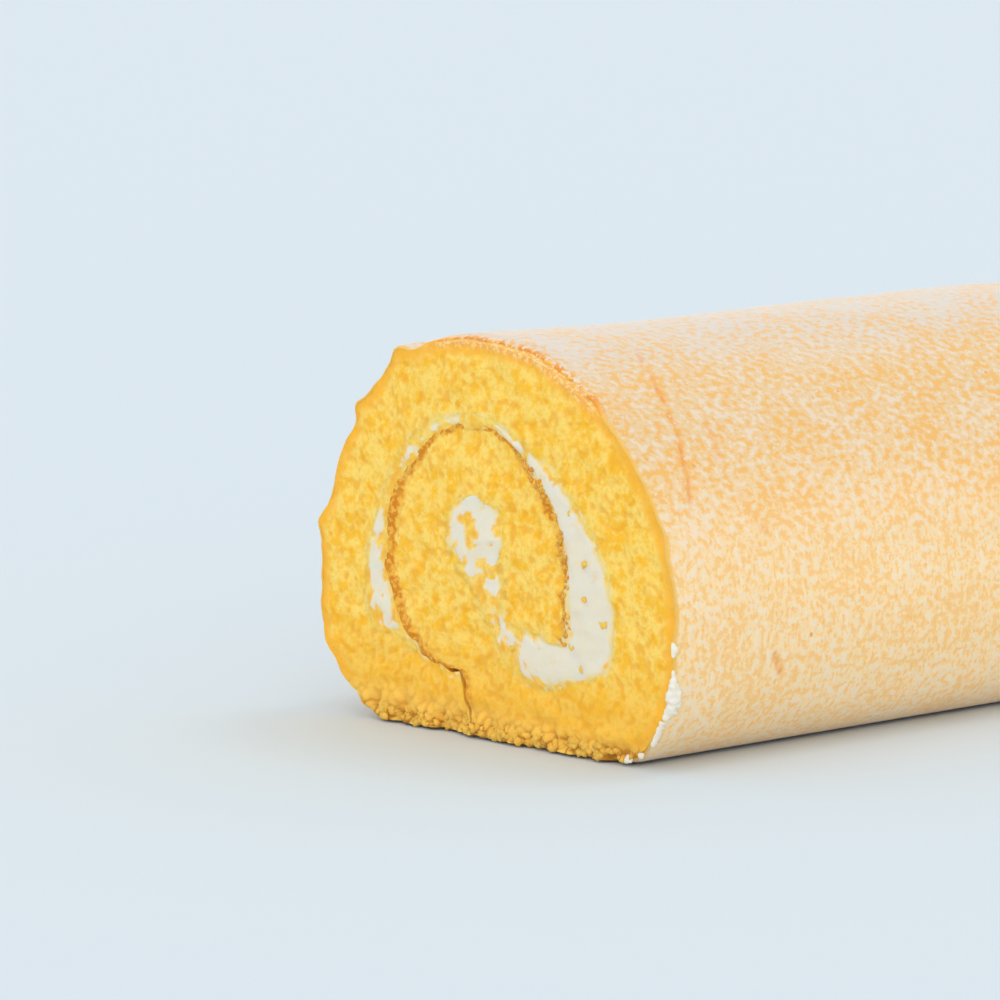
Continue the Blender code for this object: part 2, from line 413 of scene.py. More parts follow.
def placeGroup(tree, group, inputs):
    made = tree.nodes.new("ShaderNodeGroup")
    made.node_tree = group
    setInputs(tree, made, inputs)
    return made.outputs


def bandAlong(tree, place, distance, band):
    # a band is (full up to, gone from, how far that wanders, size of its turns)
    full, gone, drift, size = band
    inputs = {"Distance": distance, "Vector": place, "Full": full, "Gone": gone, "Wander": drift}
    return placeGroup(tree, edgeBand, {**inputs, "Wander Scale": 1 / size})["Band"]


def finishShader(tree, shader, colour, height, distance, strength):
    # the colour and the finest relief, as a bump of that height
    tree.links.new(colour, shader.inputs["Base Color"])
    bump = node(tree, "Bump", {"Height": height, "Distance": distance, "Strength": strength})
    tree.links.new(bump.outputs[0], shader.inputs["Normal"])


# Crumb
crumb = {
    "step": 0.42 * mm,
    "layers": 34,
    "sections": [-0.97, -0.8, -0.6, -0.3, 0.0, 0.3, 0.6, 0.8, 0.97],
    "underSkin": 0.7 * mm,  # how far its outer side lies under the skin
    "underSkinAtEnds": 0.25 * mm,
    "tipRagged": (1.2, 3.0),  # how much its inner end wanders as well, and over how many mm
    "edgeWander": [(2.8 * mm, 0.75 * mm), (0.9 * mm, 0.25 * mm)],  # (wavelength, height) of its cut edges
    "cragSize": 4.5 * mm,
    "cragDepth": 0.75 * mm,
    "cragCover": 0.2,  # more makes the crags meet
    "footCragSize": 3.2 * mm,
    "footCragDepth": 2.6 * mm,
    "footHeight": 9 * mm,
    "grain": [(0.9 * mm, 0.07 * mm), (2.2 * mm, 0.06 * mm), (8 * mm, 0.3 * mm)],  # (wavelength, height)
    "poreSize": 1.5 * mm,
    "poreDepth": 0.14 * mm,
    "poreRange": (0.12, 0.45),  # the noise at which a pore begins and is at its deepest
    "lumpSize": 2.1 * mm,
    "lumpDepth": 0.9 * mm,
    "gapsUpTo": (1.5 * mm, 4.5 * mm),  # the painted shade in the gaps between the lumps fades above these heights
    "footLumps": (3.0, 6.5),  # mm, how high they reach along the foot, at its right-hand and left-hand end
    # lumps at the inner end of the sheet: (place, full and gone at this far from it, share)
    "tipLumps": (Vector((9.0, 19.0)) * mm, (3 * mm, 12 * mm), 0.35),
    # the brown line's width along the inner roll: (degrees, mm)
    "lineWidths": [
        (-31, 1.5), (20, 1.8), (55, 1.3), (72, 0.9), (112, 1.0),
        (140, 1.9), (160, 3.1), (205, 3.1), (235, 2.0),
    ],
    # bands of colour along its edges, as bandAlong takes them, in mm but for the turns
    "rimBand": (0.6, 3.4, 2.0, 3 * mm),
    "lipBand": (0.4, 1.8, 1.2, 1.2 * mm),
    "lineBand": (0.5, 1.3, 1.7, 1.2 * mm),  # in widths of the line
    "smearBand": (-0.2, 1.3, 2.6, 1.6 * mm),
    "light": seen(254, 215, 111),
    "blotch": seen(252, 192, 57),
    "pore": seen(240, 168, 44),
    # painted shade in the gaps between the lumps at the foot
    "gap": seen(176, 112, 30),
    "foot": seen(249, 188, 62),
    "lump": seen(251, 202, 98),
    "rim": seen(254, 181, 60),
    "lip": seen(240, 176, 90),
    "lipLight": seen(247, 207, 136),
    "line": seen(216, 134, 34),
    "lineLight": seen(240, 176, 76),
    "pale": seen(250, 226, 164),
}


def tornBack(x, z, end):
    # how far crags draw a cut end back
    place = Vector((x, end, z))
    crag = max(0.0, noise.noise(place / crumb["cragSize"]) + crumb["cragCover"])
    footCrag = max(0.0, noise.noise(place / crumb["footCragSize"]) + crumb["cragCover"])
    low = max(0.0, 1 - z / crumb["footHeight"])
    return crumb["cragDepth"] * crag + crumb["footCragDepth"] * low * footCrag


def looseAt(x, z):
    # where the crumb breaks into lumps: along the foot, and at the inner end of the sheet
    right = min(1.0, max(0.0, 0.5 + x / (70 * mm)))
    low, high = crumb["footLumps"]
    reach = (high + (low - high) * right) * mm
    foot = 1 - smooth(z, reach - 1.5 * mm, reach + 2.5 * mm)
    place, (full, gone), share = crumb["tipLumps"]
    return max(foot, share * (1 - smooth((Vector((x, z)) - place).length, full, gone)))


def cutRelief(x, z, end, free):
    # how far the cut face stands back, how deep it is in a pore there, 0 to 1, and how much shade is painted
    # into the gaps between its lumps, 0 to 1;
    # free is 0 beside the cream, where the grain fades out, and 1 away from it
    place = Vector((x, end, z))
    depth = tornBack(x, z, end)
    for size, height in crumb["grain"]:
        depth += height * noise.noise(place / size) * free
    pore = smooth(noise.noise(place / crumb["poreSize"]), *crumb["poreRange"])
    depth += crumb["poreDepth"] * pore * free
    loose, gap = looseAt(x, z), 0.0
    if loose > 0:
        nearest, second = noise.voronoi(place / crumb["lumpSize"])[0][:2]
        # painted shade in the gaps between lumps, less of it higher up
        gap = loose * (1 - smooth(second - nearest, 0.0, 0.3)) * smooth(nearest, 0.2, 0.6)
        gap *= 1 - 0.75 * smooth(z, *crumb["gapsUpTo"])
        depth += crumb["lumpDepth"] * loose * (min(1.0, nearest) ** 2 - 0.35)
    return depth, pore, gap


def wander(place):
    # how far a cut edge strays there; 7.7 is any slice through the noise
    spot = Vector((place.x, 7.7, place.y))
    return sum(noise.noise(spot / size) * height for size, height in crumb["edgeWander"])


def spongeColour(tree, place, pattern):
    colour = blendColours(tree, pattern["Blotch"], crumb["light"], crumb["blotch"])
    height = node(tree, "SeparateXYZ", {0: place}).outputs["Z"]
    low = times(tree, rampOf(tree, height, 4 * mm, 24 * mm, 1.0, 0.0), 0.7)
    colour = blendColours(tree, low, colour, crumb["foot"])
    hollow = times(tree, attribute(tree, "hollow"), 0.6)
    fine = times(tree, rampOf(tree, pattern["Grain"], 0.55, 0.0), 0.3)
    return blendColours(tree, maths(tree, "MAXIMUM", hollow, fine), colour, crumb["pore"])


def crumbMaterial():
    made, tree, shader = newMaterial("crumb", 0.9, 0.35, 1.6 * mm, specular=0.15)
    place = node(tree, "TexCoord").outputs["Object"]
    pattern = placeGroup(tree, crumbPattern, {"Vector": place, **crumbScales})
    colour = spongeColour(tree, place, pattern)
    outer = maths(tree, "SUBTRACT", attribute(tree, "outerWrap"), attribute(tree, "loose"), clamp=True)
    depth = attribute(tree, "skinDepth")
    rim = bandAlong(tree, place, depth, crumb["rimBand"])
    rim = times(tree, rim, rampOf(tree, pattern["Grain"], 0.2, 0.8, 0.8, 1.0))
    colour = blendColours(tree, times(tree, rim, outer), colour, crumb["rim"])
    lip = bandAlong(tree, place, depth, crumb["lipBand"])
    browned = blendColours(tree, rampOf(tree, pattern["Grain"], 0.3, 0.8), crumb["lip"], crumb["lipLight"])
    colour = blendColours(tree, times(tree, lip, attribute(tree, "flap")), colour, browned)
    widths = maths(tree, "DIVIDE", depth, attribute(tree, "lineWidth"))
    line = bandAlong(tree, place, widths, crumb["lineBand"])
    inner = maths(tree, "SUBTRACT", 1.0, attribute(tree, "outerWrap"))
    worn = rampOf(tree, patternNoise(tree, place, 4 * mm), 0.34, 0.46, 0.35, 1.0)
    line = times(tree, times(tree, line, inner), worn)
    mottled = rampOf(tree, patternNoise(tree, place, 1.1 * mm), 0.45, 0.64)
    colour = blendColours(tree, line, colour, blendColours(tree, mottled, crumb["line"], crumb["lineLight"]))
    smear = bandAlong(tree, place, attribute(tree, "creamDistance"), crumb["smearBand"])
    smear = times(tree, smear, times(tree, attribute(tree, "bare"), 0.7))
    colour = blendColours(tree, smear, colour, crumb["pale"])
    colour = blendColours(tree, times(tree, attribute(tree, "loose"), 0.6), colour, crumb["lump"])
    # painted shade in the gaps between the foot's lumps
    colour = blendColours(tree, attribute(tree, "gap"), colour, crumb["gap"])
    finishShader(tree, shader, colour, pattern["Height"], 0.35 * mm, 0.4)
    return made


def turnOf(point, centre, lowest):
    # the direction of a point as seen from a centre, in degrees from the lowest upwards
    away = point - centre
    return (math.degrees(math.atan2(away.y, away.x)) - lowest) % 360 + lowest


def placeOf(x, z):
    # a place on the section, rounded so that all rows of vertices share it
    return round(x, 7), round(z, 7)


def makeCrumb(skinSide, creamSide, ends):
    cells, layers = len(skinSide) - 1, crumb["layers"]
    bm = bmesh.new()
    bmesh.ops.create_grid(bm, x_segments=cells, y_segments=layers, size=0.5)
    spots = {}
    for vertex in bm.verts:
        at = round((vertex.co.x + 0.5) * cells)
        share = vertex.co.y + 0.5
        outer = smooth(at, ends[0], ends[1])
        across = creamSide[at] - skinSide[at]
        thickness = across.length / mm
        into = across.normalized()
        edge = wander(skinSide[at]) * (1 - share) * (1 - outer) + wander(creamSide[at]) * share
        spot = skinSide[at].lerp(creamSide[at], share) + into * edge
        fromEnd = at * crumb["step"] / mm
        along = (skinSide[min(at + 1, cells)] - skinSide[max(at - 1, 0)]).normalized()
        ragged, over = crumb["tipRagged"]
        spot += along * wander(spot) * ragged * (1 - smooth(fromEnd, 0.0, over))
        vertex.co = (spot.x, -roll["length"] / 2, spot.y)
        width = readOff(crumb["lineWidths"], turnOf(skinSide[at], roll["eye"], -40))
        flap = outer * flapShare(turnOf(skinSide[at], Vector((0, roll["widestHeight"])), -90))
        nearCream = min((1 - share) * thickness, fromEnd)
        spots[vertex] = (share * thickness, nearCream, outer, width, flap, into * (1 - share) * outer)
    byPlace = {placeOf(v.co.x, v.co.z): kept for v, kept in spots.items()}
    drawThrough(bm, crumb["sections"])
    half = roll["length"] / 2
    plain = (0.0, 0.0, 1.0, 1.0, 0.0, Vector((0, 0)))
    spotKeys = ("skinDepth", "creamDistance", "outerWrap", "lineWidth", "flap")
    layered = {key: {} for key in (*spotKeys, "hollow", "gap", "bare", "loose")}
    for vertex in bm.verts:
        x, y, z = vertex.co
        end = round(y / half, 4)
        *kept, under = byPlace.get(placeOf(x, z), plain)
        for key, value in zip(spotKeys, kept):
            layered[key][vertex] = value
        torn, deep = 0.0, crumb["underSkin"]
        if abs(end) == 1:
            free = smooth(kept[1], 0.0, 1.2)
            torn, layered["hollow"][vertex], layered["gap"][vertex] = cutRelief(x, z, end, free)
            layered["bare"][vertex] = smooth(creamLevel(x, z, end), -0.1, 0.1)
            layered["loose"][vertex] = looseAt(x, z) * smooth(6.5 * mm - z, -3 * mm, 2 * mm)
            deep = crumb["underSkinAtEnds"] + (crumb["underSkin"] - crumb["underSkinAtEnds"]) * kept[4]
        vertex.co = onRoll(x + under.x * deep, y, z + under.y * deep, torn)
    piece = finishPiece("crumb", bm, crumbMaterial(), layered)
    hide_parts("sponge")
    return piece


# Skin
skin = {
    "cellsAround": 330,
    "cellsAlong": 232,
    "innerCellsAlong": 10,
    "thickness": 1.2 * mm,
    "thicknessAtEnds": 0.5 * mm,
    "edgeDrop": 0.12 * mm,  # how far it bends in at the cut
    "endCrowding": 0.3,  # how much closer the rows stand at the ends than in the middle
    "grain": [(2.2 * mm, 0.13 * mm), (6 * mm, 0.16 * mm)],  # (wavelength, height)
    "creaseWidth": 0.6 * mm,
    "creaseWaver": (1.3 * mm, 7),  # how far a crease strays from a straight line, and its turns in degrees
    # (angle, mm behind the cut) at each end of a crease, and its depth in mm
    "creases": [
        ((74, 23.0), (28, 9.0), 0.30),
        ((52, 23.5), (36, 20.8), 0.12),
        ((28, 21.3), (18, 25.5), 0.14),
        ((-8, 25.5), (-13, 27.5), 0.25),
        ((-22, 23.6), (-25, 24.2), 0.25),
    ],
    "farCreases": [((66, 16.0), (38, 21.0), 0.30), ((150, 12.0), (118, 19.0), 0.25)],
    "flapFrom": 50,  # degrees: between these angles the skin has come off along the cut edge
    "flapTo": 116,
    "flapEases": (9, 12),  # degrees over which it begins and ends
    "flapReach": 1.8 * mm,
    "footPull": 0.9 * mm,  # how much further it stands back along the foot
    # on the flank and on the top: partly the skin's own colours and partly painted light, the top copies
    # darker to take off light from above and the flank copies lighter to make up for the shade near the floor
    "peach": (seen(254, 218, 168), seen(228, 196, 150)),
    "toasted": (seen(253, 187, 94), seen(236, 180, 97)),
    "whitish": (seen(247, 224, 194), seen(230, 212, 193)),
    # painted highlight: the whitish sheen along the crown
    "paintedHighlight": seen(212, 204, 197),
    "crease": seen(238, 158, 70),
    "deep": seen(234, 150, 60),
    "lip": seen(246, 186, 84),
    "scorch": seen(228, 152, 76),
    # painted shadow: the thin dark line where the skin meets the table
    "contactShadow": seen(120, 72, 50),
}


def flapShare(degrees):
    # whether the skin has come off along the cut edge there, 0 to 1
    begins, ends = skin["flapEases"]
    begun = smooth(degrees, skin["flapFrom"], skin["flapFrom"] + begins)
    return begun * (1 - smooth(degrees, skin["flapTo"] - ends, skin["flapTo"]))


def flapBack(degrees, end):
    # how far behind the cut the skin begins
    place = Vector((degrees / 7, end * 5, 0))
    ragged = 0.15 * mm * noise.noise(place * 5) * (1 + 2 * flapShare(degrees))
    return skin["flapReach"] * flapShare(degrees) * (0.85 + 0.5 * noise.noise(place)) + ragged


def creaseDepth(degrees, behind, end):
    deepest = 0.0
    stray, turns = skin["creaseWaver"]
    creases = skin["creases" if end < 0 else "farCreases"]
    for (startAngle, startBehind), (endAngle, endBehind), depth in creases:
        share = (startAngle - degrees) / (startAngle - endAngle)
        if -0.15 < share < 1.15:
            waver = stray * noise.noise(Vector((degrees / turns, startBehind, 0)))
            away = behind - (startBehind + (endBehind - startBehind) * share) * mm - waver
            fade = smooth(share, -0.15, 0.1) * (1 - smooth(share, 0.9, 1.15))
            fade *= smooth(noise.noise(Vector((degrees / 3, 0, endBehind))), -0.35, 0.2)
            deepest = max(deepest, depth * mm * fade * math.exp(-((away / skin["creaseWidth"]) ** 2)))
    return deepest


def skinMaterial():
    made, tree, shader = newMaterial("skin", 0.7, 0.3, 1.5 * mm, specular=0.2)
    shader.inputs["Sheen Weight"].default_value = 0.35
    shader.inputs["Sheen Roughness"].default_value = 0.4
    flat = node(tree, "UVMap", uv_map="skinMap").outputs["UV"]
    place = node(tree, "TexCoord").outputs["Object"]
    height = node(tree, "SeparateXYZ", {0: place}).outputs["Z"]
    top = rampOf(tree, height, 30 * mm, 62 * mm)

    def lowToTop(low, high):
        return rampOf(tree, top, 0.0, 1.0, low, high)

    rounder = node(tree, "Mapping", {"Vector": flat, "Scale": (1.3, 1.0, 1.0)}).outputs[0]
    flake = patternNoise(tree, rounder, 1.8 * mm, 2.0, 0.5)
    broad = patternNoise(tree, flat, 12 * mm, 2.0)
    flake = maths(tree, "ADD", flake, times(tree, maths(tree, "SUBTRACT", broad, 0.5), 0.35))
    streaked = node(tree, "Mapping", {"Vector": flat, "Scale": (0.55, 1.0, 1.0)}).outputs[0]
    streak = patternNoise(tree, streaked, 0.85 * mm, 3.0, 0.6)
    toasted = times(tree, rampOf(tree, flake, 0.49, 0.62), lowToTop(0.55, 0.95))
    combed = times(tree, rampOf(tree, streak, 0.47, 0.66), lowToTop(0.75, 0.3))
    # blending by height also paints light here: darker on top, lighter down the flank
    ground = blendColours(tree, top, *skin["peach"])
    browned = blendColours(tree, top, *skin["toasted"])
    colour = blendColours(tree, maths(tree, "MAXIMUM", toasted, combed), ground, browned)
    floury = rampOf(tree, flake, 0.46, 0.36, 0.0, 1.0)
    floury = times(tree, floury, lowToTop(0.8, 0.7))
    speckle = rampOf(tree, patternNoise(tree, flat, 1.0 * mm, 1.0), 0.66, 0.74)
    speckle = times(tree, speckle, lowToTop(0.25, 0.9))
    # the flour's top copy is darker as painted light too
    flour = blendColours(tree, top, *skin["whitish"])
    colour = blendColours(tree, maths(tree, "MAXIMUM", floury, speckle), colour, flour)
    beside = times(tree, attribute(tree, "crease"), rampOf(tree, speckle, 0.0, 0.5, 1.0, 0.2))
    colour = blendColours(tree, beside, colour, skin["crease"])
    scorch = rampOf(tree, patternNoise(tree, flat, 3.1 * mm, 1.0), 0.76, 0.8, 0.0, 0.8)
    colour = blendColours(tree, scorch, colour, skin["scorch"])
    # painted highlight: whitish sheen over the top 66 to 75 mm, broken up by the flakes
    highlightOnCrown = times(tree, rampOf(tree, height, 66 * mm, 75 * mm), rampOf(tree, flake, 0.62, 0.44, 0.2, 0.8))
    colour = blendColours(tree, highlightOnCrown, colour, skin["paintedHighlight"])
    colour = blendColours(tree, attribute(tree, "lip"), colour, skin["lip"])
    torn = times(tree, attribute(tree, "flapEdge"), rampOf(tree, flake, 0.42, 0.5, 0.0, 0.9))
    colour = blendColours(tree, torn, colour, skin["deep"])
    dusted = rampOf(tree, patternNoise(tree, place, 0.9 * mm, 1.0), 0.56, 0.62)
    dusted = times(tree, attribute(tree, "flapEdge"), dusted)
    colour = blendColours(tree, dusted, colour, skin["whitish"][1])
    # painted contact shadow: dark brown over the lowest 0.3 to 0.9 mm of the skin
    colour = blendColours(tree, rampOf(tree, height, 0.3 * mm, 0.9 * mm, 0.9, 0.0), colour, skin["contactShadow"])
    relief = maths(tree, "SUBTRACT", times(tree, streak, 0.4), flake)
    finishShader(tree, shader, colour, relief, 0.25 * mm, 0.5)
    return made


def makeSkin(skinSide, creamSide, ends):
    # its outer face is fine and its hidden inner face coarse; the two are joined at the ends and the seam
    cells = skin["cellsAround"]
    outerLine = evenSteps(skinSide[ends[1]:], cells)
    towards = evenSteps(creamSide[ends[1]:], cells)
    run = lineLength(outerLine)
    half = roll["length"] / 2
    bm = bmesh.new()
    grids = {}
    for side, rows in (("outer", skin["cellsAlong"]), ("inner", skin["innerCellsAlong"])):
        for vertex in bmesh.ops.create_grid(bm, x_segments=cells, y_segments=rows, size=0.5)["verts"]:
            grids[vertex] = (side, vertex.co.x + 0.5, 2 * vertex.co.y)
            vertex.co.z = 0.0 if side == "outer" else -0.1  # apart, so that the rows pair the right way round
    for end in (-1, 1):
        row = [e for e in bm.edges if all(abs(grids[v][2] - end) < 1e-5 for v in e.verts)]
        bmesh.ops.bridge_loops(bm, edges=row)
    bmesh.ops.holes_fill(bm, edges=[e for e in bm.edges if e.is_boundary], sides=0)
    layered = {"crease": {}, "lip": {}, "flapEdge": {}}
    mapped = {}
    for vertex, (side, turn, reach) in grids.items():
        at = round(turn * cells)
        spot, inward = outerLine[at], (towards[at] - outerLine[at]).normalized()
        degrees = math.degrees(math.atan2(spot.y - roll["widestHeight"], spot.x))
        degrees = degrees + 360 if degrees < -90 else degrees
        end = math.copysign(1, reach)
        crowded = reach * (1 + skin["endCrowding"] * (1 - reach * reach))
        y = crowded * half
        behind = half - abs(y)
        pulled = tornBack(spot.x, spot.y, end) + flapBack(degrees, end)
        pulled += skin["footPull"] * (1 - smooth(spot.y, 1 * mm, 6 * mm))
        pulled *= 1 - smooth(behind, 0.0, 6 * mm)
        crease = creaseDepth(degrees, behind, end) if side == "outer" else 0.0
        settled = min(1.0, spot.y / (4 * mm))
        relief = 0.0
        if side == "outer":
            place = Vector((spot.x, y, spot.y))
            relief = sum(noise.noise(place / size) * rise for size, rise in skin["grain"])
            relief *= 0.4 + 0.6 * smooth(behind, 0.0, 4 * mm)
            rounded = skin["edgeDrop"] * (1 - smooth(behind, 0.0, 0.7 * mm))
            spot = spot + inward * (rounded + crease - relief) * settled
        else:
            full = max(smooth(behind, 0.0, 4 * mm), flapShare(degrees))
            thin = skin["thicknessAtEnds"]
            spot = spot + inward * (thin + (skin["thickness"] - thin) * full)
        layered["crease"][vertex] = crease / (0.25 * mm)
        layered["flapEdge"][vertex] = flapShare(degrees) * (1 - smooth(behind, 0.5 * mm, 2.0 * mm))
        layered["lip"][vertex] = 1 - smooth(behind, 0.2 * mm, 1.0 * mm) if side == "outer" else 1.0
        mapped[vertex] = (turn * run, y)
        vertex.co = onRoll(spot.x, y, spot.y, pulled)
    uv = bm.loops.layers.uv.new("skinMap")
    for face in bm.faces:
        for loop in face.loops:
            loop[uv].uv = mapped[loop.vert]
    piece = finishPiece("skin", bm, skinMaterial(), layered)
    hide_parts("sponge")
    return piece


# Cream
cream = {
    "step": 0.5 * mm,
    "layers": 16,
    "sections": [-0.97, -0.6, 0.0, 0.6, 0.97],
    "intoSponge": 1.35 * mm,
    "sunk": 0.06 * mm,  # how far its edges lie below the crumb beside it
    "coverRise": 0.12 * mm,  # how far the crumb pressed into it rises from there
    "recess": 0.15 * mm,
    "dome": 0.3 * mm,
    "folds": [(6 * mm, 0.35 * mm), (2.4 * mm, 0.2 * mm)],  # (wavelength, height)
    # how much crumb is pressed into it: (share of the way from the heart to the outer end, cover 0 to 1)
    "cover": [
        (0.0, 0.34), (0.06, 0.26), (0.10, 0.52), (0.16, 0.62), (0.22, 0.50), (0.26, 0.12), (0.45, 0.08),
        (0.56, 0.28), (0.66, 0.42), (0.74, 0.50), (0.82, 0.62), (0.90, 0.40), (0.97, 0.45), (1.0, 1.0),
    ],
    "coverSizes": [(2.6 * mm, 0.7), (1.1 * mm, 0.3)],  # (wavelength, share)
    # a bit of sponge in the heart: (centre, half-width, half-height)
    "fragment": (Vector((-6.6, 38.4)) * mm, 2.0 * mm, 4.2 * mm),
    "stainBand": (1.4, 2.7, 2.6, 2.2 * mm),  # along the sponge, as bandAlong takes it
    "edgeUneven": 0.3,  # how much its reach into the sponge varies
    "halfTurn": 325,  # degrees, where the line under the outer wrap is split
    "white": seen(228, 225, 214),
    "shade": seen(233, 220, 190),
    "stained": seen(248, 215, 134),
}


def creamLevel(x, z, end):
    place = Vector((x, end * 4, z))
    return sum(noise.noise(place / size) * part for size, part in cream["coverSizes"])


def pressedIn(x, z, end, share, edgeDistance):
    # how far crumb hides the cream, 0 to 1
    centre, halfWidth, halfHeight = cream["fragment"]
    tapered = halfWidth * (1 + 0.35 * (z - centre.y) / halfHeight)
    fragment = math.hypot((x - centre.x) / tapered, (z - centre.y) / halfHeight)
    level = creamLevel(x, z, end)
    cover = readOff(cream["cover"], share) + 0.3 * (1 - smooth(edgeDistance, 1.3, 2.9))
    covered = smooth((2 * cover - 1) * 0.55 - level, -0.12, 0.16)
    return max(covered, 1 - smooth(fragment + 0.3 * level, 0.85, 1.05))


def creamMaterial():
    made, tree, shader = newMaterial("cream", 0.5, 0.5, 2 * mm, specular=0.35)
    place = node(tree, "TexCoord").outputs["Object"]
    colour = blendColours(tree, patternNoise(tree, place, 5 * mm, 2.0), cream["shade"], cream["white"])
    edge = bandAlong(tree, place, attribute(tree, "edgeDistance"), cream["stainBand"])
    colour = blendColours(tree, times(tree, edge, 0.85), colour, cream["stained"])
    flecks = rampOf(tree, patternNoise(tree, place, 1.6 * mm, 2.0), 0.62, 0.7, 0.0, 0.5)
    colour = blendColours(tree, flecks, colour, cream["stained"])
    pattern = placeGroup(tree, crumbPattern, {"Vector": place, **crumbScales})
    crumbColour = spongeColour(tree, place, pattern)
    ragged = times(tree, maths(tree, "SUBTRACT", pattern["Grain"], 0.5), 0.3)
    cover = rampOf(tree, maths(tree, "ADD", attribute(tree, "crumbCover"), ragged), 0.1, 0.9)
    colour = blendColours(tree, cover, colour, crumbColour)
    finishShader(tree, shader, colour, patternNoise(tree, place, 1.4 * mm, 3.0), 0.3 * mm, 0.35)
    return made


def creamLines():
    # the cream's two sides, from the top of the heart to where it runs out
    startTurn = undersideTurn(roll["undersideStart"])
    grown, endAngle, halfTurn = cream["intoSponge"], roll["creamEndAngle"], cream["halfTurn"]
    fromHeart = [roll["heartCentre"] + around(roll[side]) * (roll["heartRadius"] + grown)
                 for side in ("heartRight", "heartLeft")]
    endPoint = innerSkin(endAngle) + around(endAngle) * 0.4 * mm
    return pairedLines(
        [
            (heartArc(80, roll["heartRight"], grown), heartArc(100, roll["heartLeft"], grown)),
            (
                [fromHeart[0], roll["tipCorner"], innerSkin(roll["tipAngle"])],
                [fromHeart[1], *roll["trailLeft"], *sweep(underOuterWrap, startTurn, halfTurn, 60)],
            ),
            (
                sweep(innerSkin, roll["tipAngle"], endAngle),
                [*sweep(underOuterWrap, halfTurn, roll["outerEndTurn"] + 358), endPoint],
            ),
        ],
        cream["step"],
    )


def makeCream():
    inner, outer, ends = creamLines()
    cells = len(inner) - 1
    half = roll["length"] / 2
    bm = bmesh.new()
    bmesh.ops.create_grid(bm, x_segments=cells, y_segments=cream["layers"], size=0.5)
    edges = {}
    for vertex in bm.verts:
        at = round((vertex.co.x + 0.5) * cells)
        share = vertex.co.y + 0.5
        across = outer[at] - inner[at]
        uneven = 1 + cream["edgeUneven"] * noise.noise(Vector((at / 9, share > 0.5, 3)))
        more = across.normalized() * cream["intoSponge"] * uneven
        spot = (inner[at] - more).lerp(outer[at] + more, share)
        vertex.co = (spot.x, -half, spot.y)
        width = across.length / mm + 2 * more.length / mm
        edges[vertex] = (share * width, (1 - share) * width, at / cells)
    byPlace = {placeOf(v.co.x, v.co.z): kept for v, kept in edges.items()}
    drawThrough(bm, cream["sections"])
    layered = {"edgeDistance": {}, "crumbCover": {}, "hollow": {}}
    for vertex in bm.verts:
        x, y, z = vertex.co
        end = round(y / half, 4)
        nearInner, nearOuter, share = byPlace.get(placeOf(x, z), (0.0, 0.0, 0.0))
        distance = min(nearInner, nearOuter)
        layered["edgeDistance"][vertex] = distance
        torn = 0.0
        if abs(end) == 1:
            cover = pressedIn(x, z, end, share, distance)
            besideCrumb = min(abs(near * mm - cream["intoSponge"]) for near in (nearInner, nearOuter))
            relief, hollow, _ = cutRelief(x, z, end, smooth(besideCrumb, 0.5 * mm, 1.5 * mm))
            torn = cream["recess"] - cream["dome"] * smooth(distance, 1.2, 3.2) + 0.6 * tornBack(x, z, end)
            for size, height in cream["folds"]:
                torn += height * noise.noise(Vector((x, end * 3, z)) / size)
            rising = smooth(nearOuter, 0.3, 1.2) * smooth(nearInner, 1.4, 2.2)
            level = relief + cream["sunk"] - cream["coverRise"] * cover * rising
            torn += (level - torn) * max(cover, 1 - smooth(distance, 1.2, 2.0))
            layered["crumbCover"][vertex], layered["hollow"][vertex] = cover, hollow * cover
        vertex.co = onRoll(x, y, z, torn)
    piece = finishPiece("cream_filling", bm, creamMaterial(), layered)
    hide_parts("cream")
    return piece


# Loose crumbs on the cut ends
looseCrumbs = {
    "seed": 41,
    "faces": (8, 5),  # round one crumb, and from pole to pole
    "rough": 0.8,
    "lumpSize": 0.6 * mm,
    "atFoot": 90,
    "onLine": 80,
    "footSpan": (-33, 34),  # mm, how far they lie along the foot
    "footSize": (0.9, 2.1),  # mm
    "lineSpan": (-30, 66),  # degrees, how far they lie along the brown line
    "lineSize": (0.4, 1.2),  # mm
    "creamSize": (1.3, 2.1),  # mm
    "inCream": [
        (24.2, 29.4), (28.4, 25.3), (23.2, 16.4), (5.4, 17.9), (20.6, 20.1), (24.5, 36.1), (20.5, 44.6),
    ],  # (across, up) of each, in mm
    "pattern": {"Blotch Scale": 1 / (1.5 * mm), "Grain Scale": 1 / (0.6 * mm)},
    "light": seen(254, 204, 92),
    "brown": seen(220, 138, 42),
}


def addCrumb(bm, shape, draw, centre, size, tones, tone):
    first = len(bm.verts)
    bm.from_mesh(shape)
    bm.verts.ensure_lookup_table()
    turn = Matrix.Rotation(draw.uniform(0, math.tau), 3, draw.choice("XYZ"))
    stretch = Matrix.Diagonal((draw.uniform(0.75, 1.3), 0.75, draw.uniform(0.75, 1.2))) * size
    for vertex in bm.verts[first:]:
        out = stretch @ turn @ vertex.co
        lump = 1 + looseCrumbs["rough"] * noise.noise((centre + out) / looseCrumbs["lumpSize"])
        vertex.co = centre + out * lump
        tones[vertex] = tone


def onFace(x, z, end, proud):
    return onRoll(x, end * roll["length"] / 2, z, tornBack(x, z, end) - proud)


